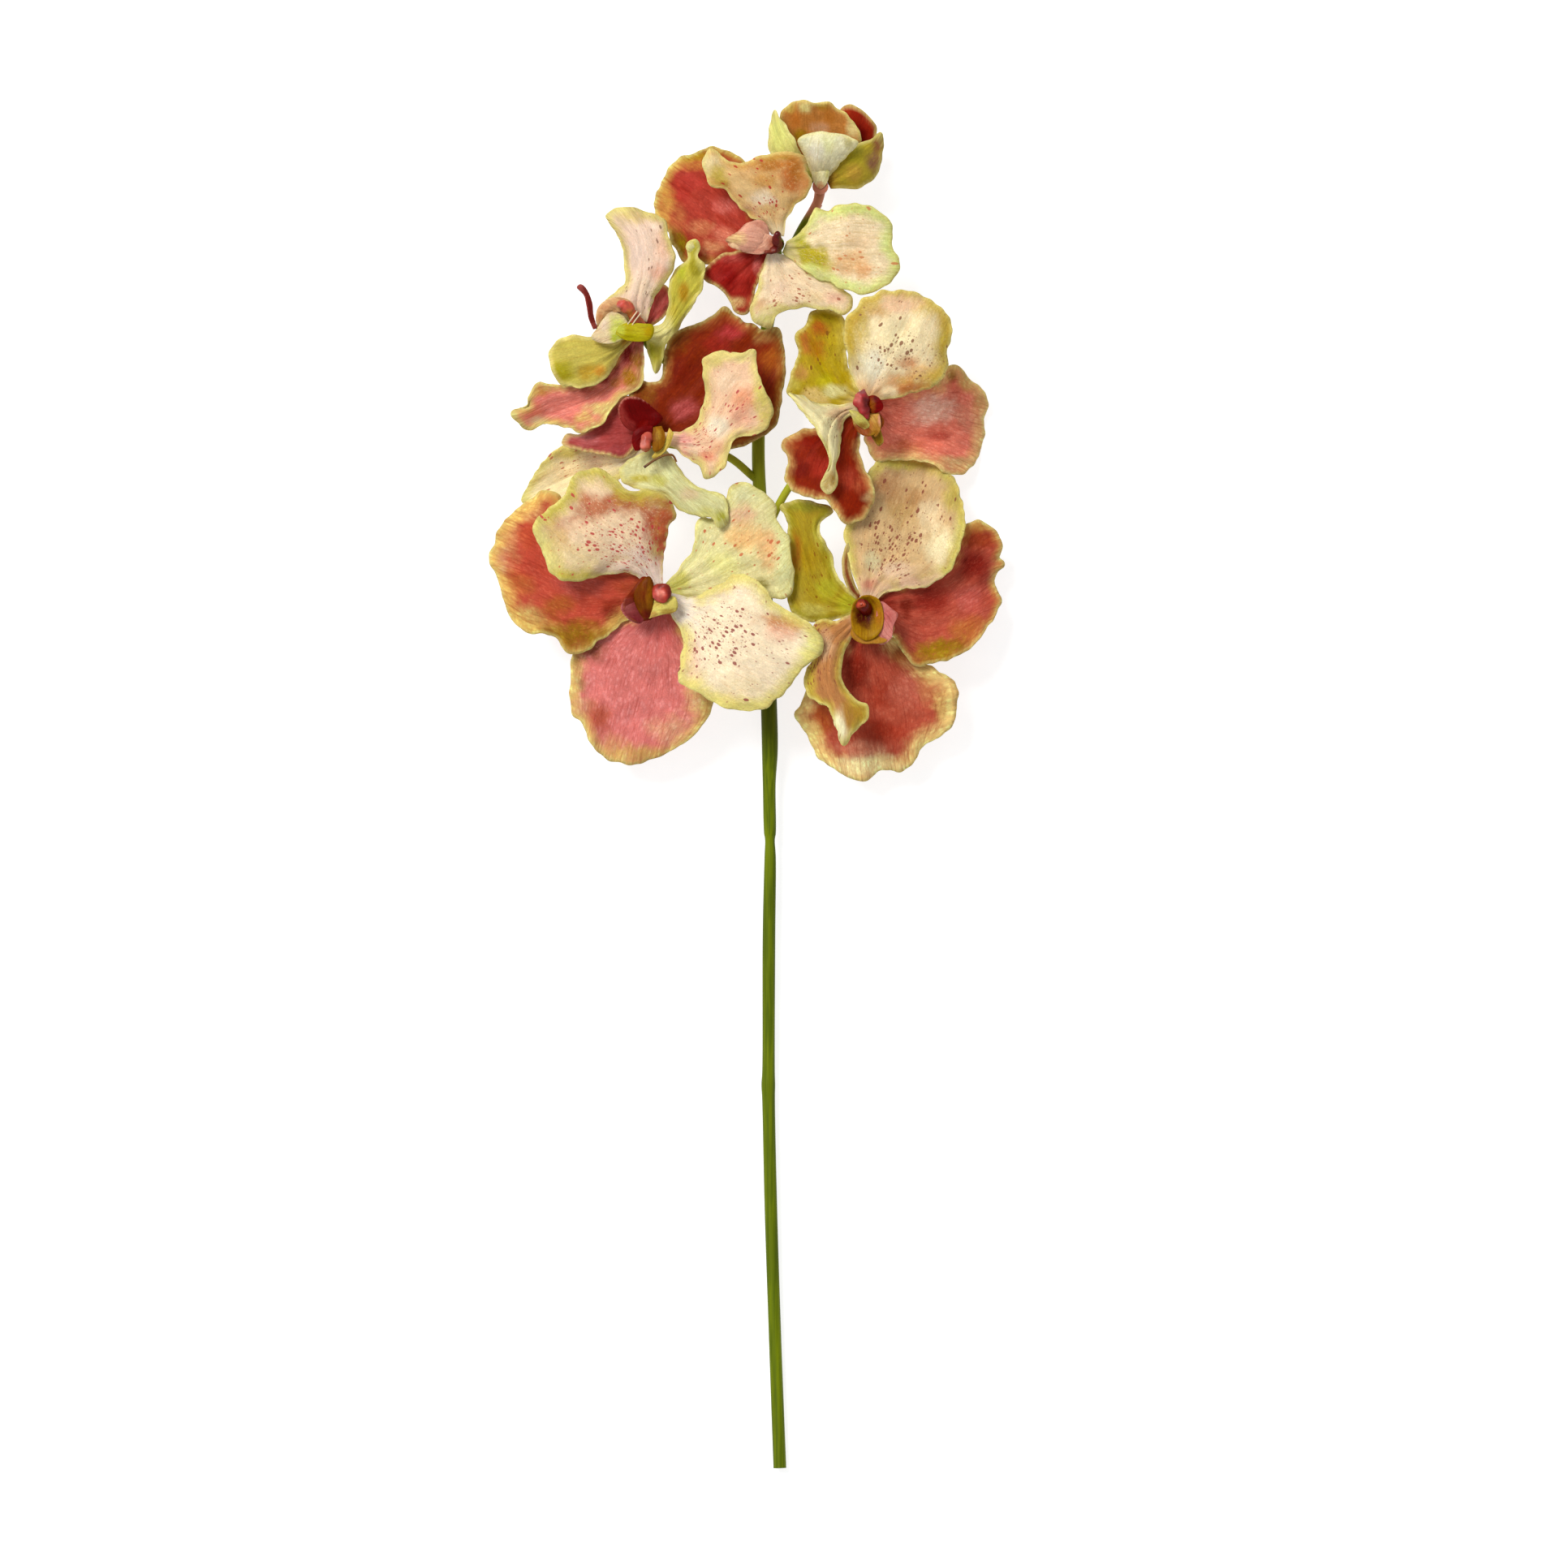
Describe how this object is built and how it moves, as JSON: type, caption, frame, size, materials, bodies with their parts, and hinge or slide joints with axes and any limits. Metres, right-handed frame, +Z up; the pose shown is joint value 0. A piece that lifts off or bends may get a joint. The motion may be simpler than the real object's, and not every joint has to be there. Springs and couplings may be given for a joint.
{
  "type": "cut vanda orchid",
  "caption": "Cut flower spray laid on its back: a bare green stem with open broad-petalled blooms on short stalks and a part-open bud at its tip",
  "frame": {"origin": "on the table, below the middle of the box round the spray as it lies", "axes": "+X to the right as seen from above, +Y along the stem from its cut end to the bud, +Z up from the table towards the faces of the blooms"},
  "size_m": [0.222, 0.5912, 0.0556],
  "materials": {
    "stem": "satin",
    "petal": "satin",
    "red_sepal": "satin",
    "green_sepal": "satin",
    "lip": "satin",
    "column": "satin",
    "bud": "satin"
  },
  "bodies": {
    "root": {"stem": "stem", "bloom_a_upper_petal": "petal", "bloom_a_left_sepal": "red_sepal", "bloom_a_lower_sepal": "red_sepal", "bloom_a_lower_petal": "petal", "bloom_a_dorsal_sepal": "green_sepal", "bloom_a_lip": "lip", "bloom_a_column": "column", "bloom_b_upper_petal": "petal", "bloom_b_right_sepal": "red_sepal", "bloom_b_bottom_sepal": "red_sepal", "bloom_b_lower_petal": "petal", "bloom_b_dorsal_sepal": "green_sepal", "bloom_b_lip": "lip", "bloom_b_column": "column", "bloom_c_upper_petal": "petal", "bloom_c_dorsal_sepal": "green_sepal", "bloom_c_lower_petal": "petal", "bloom_c_bottom_sepal": "red_sepal", "bloom_c_right_sepal": "red_sepal", "bloom_c_lip": "lip", "bloom_c_column": "column", "bloom_d_upper_sepal": "red_sepal", "bloom_d_front_petal": "petal", "bloom_d_left_sepal": "red_sepal", "bloom_d_lower_petal": "petal", "bloom_d_dorsal_sepal": "green_sepal", "bloom_d_lip": "lip", "bloom_d_column": "column", "bloom_e_upper_petal": "petal", "bloom_e_dorsal_sepal": "green_sepal", "bloom_e_left_petal": "petal", "bloom_e_lower_sepal": "red_sepal", "bloom_e_right_sepal": "red_sepal", "bloom_e_lip": "lip", "bloom_e_column": "column", "bloom_f_upper_petal": "petal", "bloom_f_left_sepal": "red_sepal", "bloom_f_lower_sepal": "red_sepal", "bloom_f_lower_petal": "petal", "bloom_f_dorsal_sepal": "green_sepal", "bloom_f_lip": "lip", "bloom_f_column": "column", "bud_left_sepal": "bud", "bud_front_sepal": "bud", "bud_right_sepal": "bud", "bud_back_petal": "bud", "bud_side_petal": "bud"}
  },
  "joints": []
}
